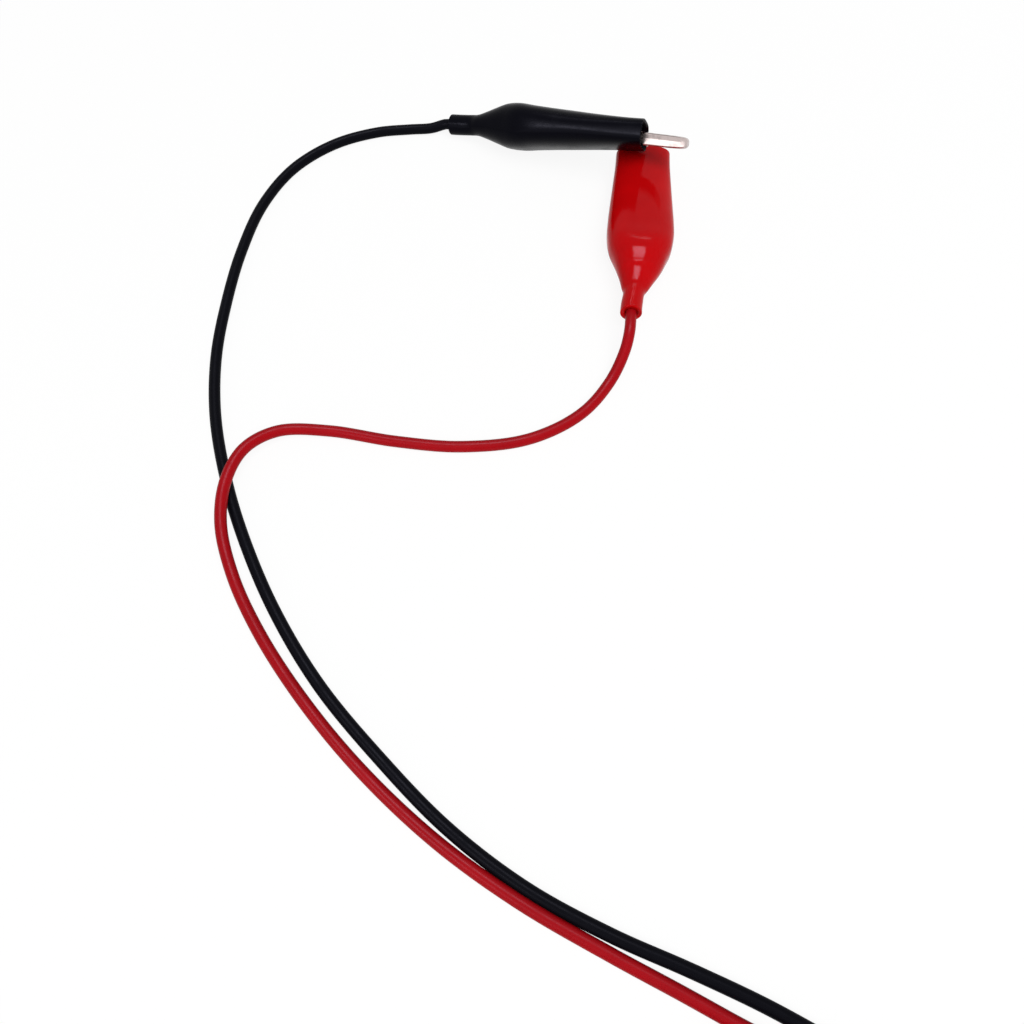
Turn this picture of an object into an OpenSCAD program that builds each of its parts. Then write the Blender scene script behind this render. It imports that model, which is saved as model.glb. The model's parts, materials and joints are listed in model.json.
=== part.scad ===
// Pair of test leads. Each ends in an insulated crocodile clip, and both share one double plug.
// Millimetres, +Z up. The origin is on the table, under the middle of the two clips.
// A clip has its own frame: X from the boot's tail to the jaws' tip, Y the way the jaws open
// and Z along the pivot.

/* [Lead] */
// Outer diameter of the insulated wire
wire_d = 2.1; // [2.0:0.05:2.15]
// Diameter of the bared conductor
conductor_d = 1.1; // [0.8:0.05:1.2]

/* [Jaws] */
// Thickness of the jaws' sheet
sheet_t = 0.4; // [0.3:0.02:0.45]
// Distance from the pivot to the jaws' tip
jaw_len = 26.5; // [26:0.1:27]
// Height of one closed jaw at the boot's mouth
jaw_h = 1.55; // [1.3:0.05:1.8]
// Width of the jaws at the boot's mouth
jaw_w = 2.2; // [2.0:0.05:2.4]
// Width across the fixed jaw's ears
ear_w = 4.4; // [4.3:0.05:4.5]
// Radius of the ears round the pivot
ear_r = 2.6; // [2.3:0.05:2.7]
// Width across the finger handles
handle_w = 5.0; // [4.8:0.1:5.1]
// Height of a handle's arch over the clip's middle
handle_h = 5.0; // [4.9:0.05:5.1]
// Distance from the pivot to the end of a finger handle
handle_len = 10.6; // [10.4:0.1:10.8]
// Pitch of the teeth
tooth_pitch = 1.2; // [0.9:0.1:1.6]
// Height of a tooth
tooth_h = 0.5; // [0.3:0.05:0.6]
// Gap left between the closed jaws
jaw_gap = 0.06; // [0.04:0.01:0.1]

/* [Pivot] */
// Diameter of the rivet's shank
rivet_d = 1.8; // [1.6:0.05:2.0]
// Diameter of the rivet's heads
rivet_head_d = 3.0; // [2.6:0.05:3.2]
// Height of a rivet head
rivet_head_h = 0.3; // [0.25:0.01:0.35]
// Running clearance round the rivet, and between the ears
pivot_gap = 0.05; // [0.03:0.01:0.08]

/* [Spring] */
// Diameter of the spring's wire
spring_wire_d = 0.5; // [0.4:0.02:0.56]
// Mean radius of the spring's coil
spring_r = 1.5; // [1.4:0.02:1.6]
// Whole turns of the spring, beside the part turn between its legs
spring_turns = 3; // [2:1:3]

/* [Boot] */
// Length of the boot, from its tail to its mouth
boot_len = 43; // [42:0.25:44]
// Diameter of the collar round the wire
collar_d = 4.1; // [3.9:0.05:4.4]
// Length of the straight collar
collar_len = 4.8; // [4:0.1:5.5]
// Width of the boot over the handles, the way the jaws open
boot_w = 13.2; // [13:0.1:13.6]
// Thickness of the boot over the handles' ends
boot_t = 8.8; // [8.7:0.1:9.3]
// Width of the boot's mouth, the way the jaws open
mouth_w = 11.2; // [10.8:0.1:11.6]
// Thickness of the boot's mouth
mouth_t = 5.7; // [5.6:0.1:6.2]
// Wall of the boot
boot_wall = 0.7; // [0.6:0.05:0.75]
// Distance from the black boot's tail to its pivot
black_pivot_x = 25.2; // [25:0.1:25.5]
// Distance from the red boot's tail to its pivot, less because this boot sits further forward
red_pivot_x = 24.0; // [23.9:0.1:24.2]
// Slant of the black boot's mouth, in degrees
black_slant = 7.6; // [0:0.2:10]
// Lean of the black clip's nose aside, in degrees
nose_lean = 5; // [0:0.5:6]

/* [Plug] */
// Diameter of the plug's pins
pin_d = 4.0; // [3.9:0.05:4.1]
// Length of the pins in front of the body
pin_len = 19; // [17:0.5:20]
// Distance between the two pins
pin_spacing = 19.05; // [18.6:0.05:19.5]
// Width of the slot in each pin
pin_slot = 0.4; // [0.3:0.05:0.6]
// Width of the plug body, across the pins
plug_w = 31; // [29:0.5:34]
// Length of the plug body, along the pins
plug_len = 18; // [16:0.5:20]
// Thickness of the plug body
plug_t = 10; // [9:0.5:12]
// Diameter of the set screws
screw_d = 3.0; // [2.5:0.1:3.2]
// Length of the set screws
screw_len = 3.2; // [2.6:0.1:3.4]
// Length of the sleeves that the wires enter by
sleeve_len = 6; // [4:0.5:8]

/* [Coil] */
// Distance between neighbouring turns
turn_pitch = 2.15; // [2.15:0.05:2.3]
// Radius of the outermost turn's middle
coil_r = 14.6; // [14:0.1:15]
// Turns in each of the two layers
layer_turns = 4; // [3:1:4]
// Width of the band that ties a coil
tie_w = 4; // [3:0.5:5]
// Thickness of the tie
tie_t = 0.4; // [0.3:0.05:0.5]

/* [Placing] */
// Turn of the black clip about the vertical
black_yaw = -19.75; // [-20:0.25:-19.5]
// Slope of the black clip, its jaws up
black_pitch = 12.4; // [12.35:0.05:12.6]
// Turn of the red clip about the vertical
red_yaw = 84.75; // [84.5:0.25:85]

/* [Hidden] */
$fn = 32;
fit = 0.02;

// Places of the two clips: the middle of each collar's mouth
black_tail = [-23.28, 26.22, 2.36];
red_tail = [12.96, -27.45, 5.4];
red_pitch = -3.5;
black_roll = 131;

// How far the pull of the lead bends each collar aside and down, and the length that bends
black_bend = [0.4, 0.47];
red_bend = [1.24, 0];
bend_len = 13;
slant_from = 30;

// Colours
black_pvc = [0.08, 0.08, 0.1];
red_pvc = [0.75, 0.06, 0.09];
nickel = [0.82, 0.79, 0.76];
copper = [0.72, 0.42, 0.25];
grey_band = [0.25, 0.25, 0.27];

// Derived sizes of the jaws. Distances run from the pivot, and the wire side is behind it.
ear_half = ear_w / 2;
inner_ear_half = ear_half - sheet_t - pivot_gap;
mouth_x = boot_len - black_pivot_x;
lean_from = mouth_x - 1.8;
crimp_wall = 0.4;
wire_crimp_r = wire_d / 2 + crimp_wall;
conductor_crimp_r = conductor_d / 2 + crimp_wall;
wire_crimp_len = 2.5;
conductor_crimp_len = 1.8;
crimp_gap = 0.6;
floor_half = conductor_crimp_r * 0.75;
crimp_end = handle_len + 6;
conductor_end = crimp_end - wire_crimp_len - crimp_gap - conductor_crimp_len;
far = 20;

// Smooth step from 0 to 1
function ease(t) = t <= 0 ? 0 : t >= 1 ? 1 : t * t * (3 - 2 * t);

// One ring of a section: a superellipse of half width a and half height b, seen along X, its
// middle moved aside
function oval_at(x, aside, a, b, power, sides) = [for (i = [0 : sides - 1])
    let (t = 360 * i / sides, c = cos(t), s = sin(t))
    [x, aside[0] + a * sign(c) * pow(abs(c), 2 / power),
        aside[1] + b * sign(s) * pow(abs(s), 2 / power)]];

// Solid through a list of rings that all have the same number of points
module loft(rings) {
    n = len(rings[0]);
    last = len(rings) - 1;
    polyhedron(
        points = [for (ring = rings) each ring],
        faces = concat(
            [[for (i = [0 : n - 1]) i]],
            [for (j = [0 : last - 1], i = [0 : n - 1], k = [0, 1])
                let (a = j * n + i, b = j * n + (i + 1) % n)
                k == 0 ? [a, a + n, b] : [b, a + n, b + n]],
            [[for (i = [n - 1 : -1 : 0]) last * n + i]]),
        convexity = 6);
}

// Skin through a closed loop of rings, for a sleeve that is open at both ends
module sleeve_loft(rings) {
    n = len(rings[0]);
    m = len(rings);
    polyhedron(
        points = [for (ring = rings) each ring],
        faces = [for (j = [0 : m - 1], i = [0 : n - 1], k = [0, 1])
            let (a = j * n + i, b = j * n + (i + 1) % n,
                c = ((j + 1) % m) * n + i, d = ((j + 1) % m) * n + (i + 1) % n)
            k == 0 ? [a, c, b] : [b, c, d]],
        convexity = 8);
}

function unit(v) = v / norm(v);

// Round tube along a list of points, none of whose steps is upright
module tube(path, radius, sides) {
    last = len(path) - 1;
    loft([for (i = [0 : last])
        let (along = unit(path[min(i + 1, last)] - path[max(i - 1, 0)]),
            side = unit(cross(along, [0, 0, 1])),
            up = cross(side, along))
        [for (k = [0 : sides - 1])
            let (t = 360 * (k + 0.5) / sides)
            path[i] + radius * (cos(t) * side + sin(t) * up)]]);
}

// Point between p1 and p2 on the smooth curve through four route points
function curve_point(p0, p1, p2, p3, t) = 0.5 * (2 * p1 + t * (p2 - p0)
    + t * t * (2 * p0 - 5 * p1 + 4 * p2 - p3) + t * t * t * (3 * p1 - p0 - 3 * p2 + p3));

// Route with one more point in the middle of each span of the smooth curve
function smooth(route) = let (last = len(route) - 1)
    [for (i = [0 : 2 * last])
        let (j = floor(i / 2))
        i % 2 == 0 ? route[j]
            : curve_point(route[max(j - 1, 0)], route[j], route[j + 1], route[min(j + 2, last)], 0.5)];

// Places a clip's own frame in the pair
module place_black() {
    translate(black_tail) rotate([0, 0, black_yaw]) rotate([0, -black_pitch, 0])
        rotate([black_roll, 0, 0]) children();
}
module place_red() {
    translate(red_tail) rotate([0, 0, red_yaw]) rotate([0, -red_pitch, 0]) children();
}

// Section rings of a jaw's channel: each station gives the distance ahead of the pivot,
// the mouth side's height, the back's height and half the width
function channel_ring(s, inset) =
    let (x = s[0], low = s[1], high = s[2] - inset, half = s[3] - inset,
        r = min(half * 0.45, (high - low) * 0.8))
    concat([[x, low, -half]],
        [for (t = [0 : 30 : 90]) [x, high - r + r * sin(t), -half + r - r * cos(t)]],
        [for (t = [90 : -30 : 0]) [x, high - r + r * sin(t), half - r + r * cos(t)]],
        [[x, low, half]]);

// Ring of a jaw whose nose leans aside from just inside the mouth
function leaned(ring, lean) = [for (p = ring) p + [0, 0, tan(lean) * max(p[0] - lean_from, 0)]];

// Folded sheet along its stations: open on the mouth side and at the handle's end
module channel(stations, lean) {
    rows = smooth(stations);
    hollow = [for (s = rows) if (s[0] < jaw_len - 2.5 * sheet_t) s - [0, 1, 0, 0]];
    difference() {
        loft([for (s = rows) leaned(channel_ring(s, 0), lean)]);
        loft([for (s = concat([hollow[0] - [1, 0, 0, 0]], hollow)) leaned(channel_ring(s, sheet_t), lean)]);
    }
}

// Front of both jaws, ahead of the pivot, down to the mouth line or past it by the teeth
function front_stations(low, half) = [
    [ear_r * 0.7, low, handle_h * 0.83, half],
    [ear_r * 1.2, low, handle_h * 0.78, half],
    [jaw_len * 0.36, low, jaw_h * 1.85, (half + jaw_w / 2) * 0.47],
    [mouth_x, low, jaw_h, jaw_w / 2],
    [jaw_len - 3, low, jaw_h * 0.78, jaw_w * 0.42],
    [jaw_len - 1, low, jaw_h * 0.66, jaw_w * 0.37],
    [jaw_len - 0.3, low, jaw_h * 0.5, jaw_w * 0.28],
    [jaw_len, low, jaw_h * 0.25, jaw_w * 0.14]];

// Handle with its finger pad, behind the pivot
function pad_stations(half) = [
    [-handle_len, handle_h - 2.2, handle_h - 1.1, handle_w * 0.42],
    [-handle_len + 1.5, handle_h - 2.1, handle_h - 0.6, handle_w * 0.48],
    [-handle_len * 0.66, handle_h - 1.7, handle_h - 0.1, handle_w / 2],
    [-handle_len * 0.5, handle_h - 2, handle_h, handle_w * 0.48],
    [-ear_r * 1.65, handle_h - 2.5, handle_h - 0.05, handle_w * 0.42],
    [-ear_r * 1.15, handle_h - 2.4, handle_h - 0.15, half],
    [-ear_r * 0.4, 0, handle_h - 0.6, half]];

// Handle that comes back to the wire, for the jaw that holds it
function spoon_stations(half) = [
    [-conductor_end - 1.5, conductor_crimp_r - 0.15, wire_crimp_r, conductor_crimp_r],
    [-conductor_end, conductor_crimp_r - 0.1, wire_crimp_r + 0.1, conductor_crimp_r],
    [-handle_len + 1.6, handle_h - 2.7, handle_h - 1.1, handle_w * 0.4],
    [-handle_len * 0.66, handle_h - 1.9, handle_h - 0.3, handle_w * 0.48],
    [-handle_len * 0.5, handle_h - 2, handle_h, handle_w * 0.48],
    [-ear_r * 1.65, handle_h - 2.5, handle_h - 0.05, handle_w * 0.42],
    [-ear_r * 1.15, handle_h - 2.4, handle_h - 0.15, half],
    [-ear_r * 0.4, 0, handle_h - 0.6, half]];

// Ears of a jaw: two discs and the webs that join them to the channel
module ears(half) {
    for (side = [0, 1]) mirror([0, 0, side]) translate([0, 0, half - sheet_t])
        linear_extrude(sheet_t) {
            circle(ear_r);
            translate([-ear_r, 0]) square([2 * ear_r, handle_h * 0.6]);
        }
}

// What the teeth leave of the space on the far side of the mouth line
module teeth_cut(side) {
    count = floor((jaw_len * 0.6) / tooth_pitch);
    start = jaw_len - 1.2 - count * tooth_pitch;
    step = [for (i = [0 : count]) each [[start + i * tooth_pitch, side * jaw_gap / 2 - tooth_h / 2],
        [start + (i + 0.5) * tooth_pitch, side * jaw_gap / 2 + tooth_h / 2]]];
    throat = side * (jaw_gap / 2 + 0.3);
    translate([0, 0, -far / 2]) linear_extrude(far) polygon(concat(
        [[ear_r * 0.75, side * -far], [ear_r * 0.75, throat], [start - tooth_pitch / 2, throat]],
        step,
        [[jaw_len + 1, side * jaw_gap / 2], [jaw_len + 1, side * -far]]));
}

// The jaw that turns: its ears sit inside the other jaw's
module moving_jaw(lean) {
    half = inner_ear_half;
    difference() {
        union() {
            channel(concat(pad_stations(half), front_stations(-tooth_h / 2, half)), lean);
            ears(half);
        }
        cylinder(h = far, r = rivet_d / 2 + pivot_gap, center = true);
        teeth_cut(1);
    }
}

// The jaw that holds the wire, with a crimp for the insulation and one for the conductor
module fixed_jaw(lean) {
    difference() {
        union() {
            mirror([0, 1, 0]) {
                channel(concat(spoon_stations(ear_half), front_stations(-tooth_h / 2, ear_half)), lean);
                ears(ear_half);
            }
            translate([-crimp_end, 0, 0]) rotate([0, 90, 0])
                cylinder(h = wire_crimp_len, r = wire_crimp_r);
            translate([-conductor_end - conductor_crimp_len, 0, 0]) rotate([0, 90, 0])
                cylinder(h = conductor_crimp_len, r = conductor_crimp_r);
            translate([-crimp_end, -wire_crimp_r, -floor_half])
                cube([crimp_end - conductor_end, wire_crimp_r - conductor_crimp_r + 0.15, 2 * floor_half]);
        }
        cylinder(h = far, r = rivet_d / 2 + fit / 2, center = true);
        teeth_cut(-1);
        translate([-crimp_end - 1, 0, 0]) rotate([0, 90, 0])
            cylinder(h = wire_crimp_len + 1.5, r = wire_d / 2 + fit);
        translate([-crimp_end - 1, 0, 0]) rotate([0, 90, 0])
            cylinder(h = crimp_end - conductor_end + 1.8, r = conductor_d / 2 + fit);
    }
}

// Rivet with a low domed head on each side
module pivot_rivet() {
    dome = rivet_head_h * 0.4;
    rotate_extrude() polygon([[0, -ear_half - rivet_head_h],
    [rivet_head_d * 0.36, -ear_half - rivet_head_h],
        [rivet_head_d / 2, -ear_half - dome], [rivet_head_d / 2, -ear_half], [rivet_d / 2, -ear_half],
        [rivet_d / 2, ear_half], [rivet_head_d / 2, ear_half], [rivet_head_d / 2, ear_half + dome],
        [rivet_head_d * 0.36, ear_half + rivet_head_h], [0, ear_half + rivet_head_h]]);
}

// Torsion spring: its legs leave the coil as tangents and press on the inside of both handles
module torsion_spring() {
    leg_x = -handle_len * 0.6;
    leg_y = handle_h - 0.12 - sheet_t - spring_wire_d / 2 - 0.06;
    reach = norm([leg_x, leg_y]);
    touch = atan2(leg_y, leg_x) - acos(spring_r / reach);
    sweep = 2 * touch + 360 * spring_turns;
    rise = (spring_wire_d + 0.05) * sweep / 360;
    segments = ceil(sweep / 30);
    coil = [for (i = [0 : segments])
        let (t = touch - sweep * i / segments)
        [spring_r * cos(t), spring_r * sin(t), rise * (i / segments - 0.5)]];
    tube(concat([[leg_x, leg_y, -rise / 2]], coil, [[leg_x, -leg_y, rise / 2]]), spring_wire_d / 2, 6);
}

// Sections of the boot: distance from the tail, half width, half thickness and squareness
function boot_stations() = [
    [0, collar_d / 2, collar_d / 2, 2],
    [collar_len * 0.5, collar_d / 2, collar_d / 2, 2],
    [collar_len, collar_d / 2, collar_d / 2, 2],
    [collar_len + 1.6, boot_w * 0.2, boot_t * 0.241, 2],
    [collar_len + 3.6, boot_w * 0.253, boot_t * 0.308, 2.05],
    [collar_len + 6, boot_w * 0.322, boot_t * 0.401, 2.2],
    [collar_len + 8.6, boot_w * 0.39, boot_t * 0.488, 2.4],
    [collar_len + 11.6, boot_w * 0.466, boot_t * 0.5, 2.7],
    [collar_len + 15, boot_w * 0.5, boot_t * 0.458, 2.8],
    [collar_len + 18.8, boot_w * 0.498, boot_t * 0.425, 2.7],
    [collar_len + 22.8, boot_w * 0.483, boot_t * 0.4, 2.5],
    [collar_len + 28.6, mouth_w * 0.538, mouth_t * 0.545, 2.7],
    [boot_len - 4, mouth_w * 0.508, mouth_t * 0.485, 3.2],
    [boot_len, mouth_w / 2, mouth_t * 0.47, 3.5]];

// Where the middle of a bent boot lies at a distance from its tail
function bent(x, bend) = bend * (1 - ease(x / bend_len));

// Ring of a boot whose mouth is cut at a slant
function slanted(ring, slant) =
    let (share = ease((ring[0][0] - slant_from) / (boot_len - slant_from)))
    [for (p = ring) p + [tan(slant) * (p[1] - mouth_w * 0.2) * share, 0, 0]];

// Soft sleeve of even wall, open at the collar and at the mouth
module boot(bend, slant) {
    sides = 24;
    bore = wire_d / 2 + 0.05;
    rows = smooth(boot_stations());
    outer = [for (s = rows) oval_at(s[0], bent(s[0], bend), s[1], s[2], s[3], sides)];
    inner = [for (i = [len(rows) - 1 : -1 : 0])
        let (s = rows[i], t = ease((s[0] - collar_len * 0.8) / 3))
        oval_at(s[0], bent(s[0], bend), max(bore, bore + (s[1] - boot_wall - bore) * t),
            max(bore, bore + (s[2] - boot_wall - bore) * t), s[3], sides)];
    sleeve_loft([for (ring = concat(outer, inner)) slanted(ring, slant)]);
}

// Bared strands in the crimp
module conductor() {
    translate([-crimp_end + wire_crimp_len, 0, 0]) rotate([0, 90, 0])
        cylinder(h = crimp_end - wire_crimp_len - conductor_end + 0.4, r = conductor_d / 2);
}

// The stretch of a clip's wire in the clip's frame, from the crimp out of the collar
function wire_start(pivot_x, bend) = [
    [pivot_x - crimp_end + wire_crimp_len, 0, 0], [pivot_x - crimp_end - 0.4, 0, 0],
    concat([bend_len * 0.4], bent(bend_len * 0.4, bend) * 0.9),
    concat([bend_len * 0.26], bent(bend_len * 0.26, bend)), concat([0], bend), concat([-1.5], bend)];

// Turns a point of a clip's frame into the pair's frame
function turn_x(p, a) = [p[0], p[1] * cos(a) - p[2] * sin(a), p[1] * sin(a) + p[2] * cos(a)];
function turn_y(p, a) = [p[0] * cos(a) + p[2] * sin(a), p[1], p[2] * cos(a) - p[0] * sin(a)];
function turn_z(p, a) = [p[0] * cos(a) - p[1] * sin(a), p[0] * sin(a) + p[1] * cos(a), p[2]];
function black_point(p) = black_tail + turn_z(turn_y(turn_x(p, black_roll), -black_pitch), black_yaw);
function red_point(p) = red_tail + turn_z(turn_y(p, -red_pitch), red_yaw);

// Routes of the two leads from the clips to the coils, after the stretch inside the boot. The
// third number is the gap between the lead and the table.
black_route = [[-28.04, 25.69, 0.3], [-32.7, 25.63, 0], [-39.73, 24.73, 0], [-48.57, 21.24, 0],
    [-56.57, 14.24, 0], [-61.92, 4.13, 0], [-64.8, -8.37, 0], [-66.08, -21.35, 0],
    [-66.27, -34.26, 0], [-64.57, -47.26, 0], [-60.86, -60.29, 0], [-56.27, -71.76, 0],
    [-49.57, -84.76, 0], [-41.07, -97.26, 0], [-30.57, -108.86, 0], [-20.07, -118.86, 0],
    [-8.57, -127.06, 0], [3.43, -133.16, 0], [14.43, -137.66, 0], [24.43, -142.06, 0],
    [34.43, -147.26, 0], [45.43, -153.26, 0.1], [51.56, -156.61, 0.3], [57.72, -159.98, 0.4]];
red_route = [[11.21, -31.68, 4.2], [10.29, -34.93, 2.7], [7.53, -40.18, 0.6], [1.93, -46.86, 0],
    [-7.53, -52.08, 0], [-19.57, -53.66, 0], [-31.57, -52.56, 0], [-43.57, -50.52, 0.25],
    [-52.39, -51.15, 1.3], [-57.61, -55.19, 2.3], [-60.06, -61.57, 2.35], [-60.21, -69.25, 1.3],
    [-57.37, -78.26, 0.15], [-51.57, -88.66, 0], [-43.07, -100.06, 0], [-33.07, -110.86, 0],
    [-21.57, -120.76, 0], [-9.57, -128.76, 0], [2.93, -135.46, 0], [12.93, -140.46, 0],
    [20.93, -144.56, 0.15], [27.78, -147.86, 0.4]];
function lying(route) = [for (p = route) p + [0, 0, wire_d / 2]];

// Coils and plug, put away beside the last that is seen of the leads
black_coil_at = [50.76, -172.78];
red_coil_at = [21.13, -160.86];
coil_z = tie_t;
layer_h = turn_pitch;
coil_in = coil_r - layer_turns * turn_pitch;
plug_at = [-9.57, -178.26, 0];
pin_z = plug_t / 2;
pin_root = 11;
pin_root_r = pin_d * 0.7;
screw_x = plug_len - pin_root * 0.55;
slot_from = pin_len * 0.45;

// Routes from the coils to the plug
black_end_route = [[50.76, -187.38, 3.6], [40.96, -187.58, 2.6], [31.43, -187.68, 1.4],
    [19.43, -187.73, 1.5], [9.43, -187.78, 3.1], [2.43, -187.78, 4.7], [-2.07, -187.785, 5]];
red_end_route = [[21.13, -175.46, 3.6], [14.43, -175.16, 3.1], [8.43, -172.86, 3.2],
    [2.93, -169.08, 4.7], [-2.07, -168.735, 5]];

module lead(straight, route) {
    tube(concat(straight, smooth(route)), wire_d / 2, 8);
}

// Outer shape of a coil of two layers
module coil_block(at) {
    inner = coil_in - wire_d / 2;
    outer = coil_r + wire_d / 2;
    edge = wire_d * 0.3;
    translate([at[0], at[1], coil_z]) rotate_extrude($fn = 64) polygon([[inner + edge, 0],
    [outer - edge, 0],
        [outer, edge], [outer, layer_h + wire_d - edge], [outer - edge, layer_h + wire_d],
        [inner + edge, layer_h + wire_d], [inner, layer_h + wire_d - edge], [inner, edge]]);
}

// Band round the coil's bundle of turns, wide enough inside for the turns' curve
module tie(at) {
    near = coil_in - wire_d / 2;
    far_side = coil_r + wire_d / 2 + 0.05;
    near_side = sqrt(near * near - tie_w * tie_w / 4) - 0.05;
    inner = [far_side - near_side, layer_h + wire_d + 0.05];
    translate([at[0] + (far_side + near_side) / 2, at[1], coil_z - tie_t]) rotate([90, 0, 0])
        linear_extrude(tie_w, center = true) difference() {
            rounded(inner + 2 * [tie_t, tie_t], 1);
            translate([0, tie_t]) rounded(inner, 0.6);
        }
}

// Rectangle with round corners, its lower edge on Y = 0 and X in the middle
module rounded(size, r) {
    translate([-size[0] / 2 + r, 0]) square([size[0] - 2 * r, size[1]]);
    translate([-size[0] / 2, r]) square([size[0], size[1] - 2 * r]);
    for (x = [-1, 1], y = [r, size[1] - r]) translate([x * (size[0] / 2 - r), y]) circle(r);
}

// Where a wire's insulation ends, at the back of a pin
function plug_point(side) = plug_at + [pin_root - plug_len, -side * pin_spacing / 2, pin_z];

// Everything of the plug is drawn with the pins towards +X, then turned to point away from the coils
module place_plug() {
    translate(plug_at) rotate([0, 0, 180]) children();
}

// Body of the plug: one moulding with ribbed sides and a sleeve round each wire
module plug_moulding() {
    difference() {
        union() {
            intersection() {
                linear_extrude(plug_t) translate([plug_len / 2, -plug_w / 2])
                    rounded([plug_len, plug_w], 3);
                rotate([90, 0, 90]) linear_extrude(plug_len) rounded([plug_w, plug_t], 2);
            }
            for (side = [-1, 1]) translate([fit, side * pin_spacing / 2, pin_z]) rotate([0, -90, 0])
                cylinder(h = sleeve_len, r1 = wire_d * 1.3, r2 = wire_d * 0.9);
        }
        for (side = [-1, 1]) {
            translate([-sleeve_len - 1, side * pin_spacing / 2, pin_z]) rotate([0, 90, 0])
                cylinder(h = sleeve_len + 1 + plug_len, r = wire_d / 2 + 0.05);
            translate([plug_len - pin_root, side * pin_spacing / 2, pin_z]) rotate([0, 90, 0])
                cylinder(h = pin_root + 1, r = pin_root_r + fit);
            translate([screw_x, side * pin_spacing / 2, pin_z])
                cylinder(h = plug_t, r = screw_d / 2 + 0.05);
            for (i = [0 : 4]) translate([3.5 + i * 2.4, side * plug_w / 2, -1])
                cylinder(h = plug_t + 2, r = 0.5);
        }
    }
}

// Turned pin: round end, cross slot, shoulder at the body and a drilled root for the conductor
module plug_pin(side) {
    translate([plug_len, side * pin_spacing / 2, pin_z]) difference() {
        rotate([0, 90, 0]) rotate_extrude() polygon(concat(
            [[0, -pin_root], [pin_root_r, -pin_root], [pin_root_r, 0.8], [pin_d / 2, 0.8],
                [pin_d / 2, pin_len - pin_d / 2]],
            [for (t = [15 : 15 : 90]) [pin_d / 2 * cos(t), pin_len - pin_d / 2 + pin_d / 2 * sin(t)]]));
        for (turn = [45, 135]) translate([slot_from, 0, 0]) rotate([turn, 0, 0])
            translate([0, -pin_d, -pin_slot / 2]) cube([pin_len, 2 * pin_d, pin_slot]);
        translate([-pin_root - 1, 0, 0]) rotate([0, 90, 0])
            cylinder(h = pin_root - 1, r = conductor_d / 2 + fit);
        translate([-pin_root * 0.55, 0, 0]) cylinder(h = pin_d, r = screw_d / 2 + fit);
    }
}

// Slotted grub screws, one over each conductor
module set_screws() {
    for (side = [-1, 1]) translate([screw_x, side * pin_spacing / 2, pin_z + conductor_d / 2])
        difference() {
            cylinder(h = screw_len, r = screw_d / 2);
            translate([-screw_d, -0.3, screw_len - 0.8]) cube([2 * screw_d, 0.6, 1]);
        }
}

// Bared strands in a pin's root
module plug_conductor(side) {
    translate([plug_len - pin_root, side * pin_spacing / 2, pin_z]) rotate([0, 90, 0])
        cylinder(h = pin_root - 2.6, r = conductor_d / 2);
}

module black_clip() {
    place_black() translate([black_pivot_x, 0, 0]) children();
}
module red_clip() {
    place_red() translate([red_pivot_x, 0, 0]) children();
}

module black_fixed_jaw() { color(nickel) black_clip() fixed_jaw(nose_lean); }
module black_moving_jaw() { color(nickel) black_clip() moving_jaw(nose_lean); }
module black_pivot_rivet() { color(nickel) black_clip() pivot_rivet(); }
module black_spring() { color(nickel) black_clip() torsion_spring(); }
module black_conductor() { color(copper) black_clip() conductor(); }
module black_boot() { color(black_pvc) place_black() boot(black_bend, black_slant); }
module red_fixed_jaw() { color(nickel) red_clip() fixed_jaw(0); }
module red_moving_jaw() { color(nickel) red_clip() moving_jaw(0); }
module red_pivot_rivet() { color(nickel) red_clip() pivot_rivet(); }
module red_spring() { color(nickel) red_clip() torsion_spring(); }
module red_conductor() { color(copper) red_clip() conductor(); }
module red_boot() { color(red_pvc) place_red() boot(red_bend, 0); }
module black_lead() {
    color(black_pvc) lead([for (p = wire_start(black_pivot_x, black_bend)) black_point(p)], lying(black_route));
}
module red_lead() {
    color(red_pvc) lead([for (p = wire_start(red_pivot_x, red_bend)) red_point(p)], lying(red_route));
}
module black_coil() { color(black_pvc) coil_block(black_coil_at); }
module red_coil() { color(red_pvc) coil_block(red_coil_at); }
module black_tie() { color(grey_band) tie(black_coil_at); }
module red_tie() { color(grey_band) tie(red_coil_at); }
module black_lead_end() { color(black_pvc) lead([], concat(black_end_route, [plug_point(1)])); }
module red_lead_end() { color(red_pvc) lead([], concat(red_end_route, [plug_point(-1)])); }
module plug_body() { color(black_pvc) place_plug() plug_moulding(); }
module plug_pin_black() { color(nickel) place_plug() plug_pin(1); }
module plug_pin_red() { color(nickel) place_plug() plug_pin(-1); }
module plug_set_screws() { color(nickel) place_plug() set_screws(); }
module plug_conductor_black() { color(copper) place_plug() plug_conductor(1); }
module plug_conductor_red() { color(copper) place_plug() plug_conductor(-1); }

black_fixed_jaw();
black_moving_jaw();
black_pivot_rivet();
black_spring();
black_boot();
black_conductor();
red_fixed_jaw();
red_moving_jaw();
red_pivot_rivet();
red_spring();
red_boot();
red_conductor();
black_lead();
red_lead();
black_coil();
red_coil();
black_tie();
red_tie();
black_lead_end();
red_lead_end();
plug_body();
plug_pin_black();
plug_pin_red();
plug_set_screws();
plug_conductor_black();
plug_conductor_red();
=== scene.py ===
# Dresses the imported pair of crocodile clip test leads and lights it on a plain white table.

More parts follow.
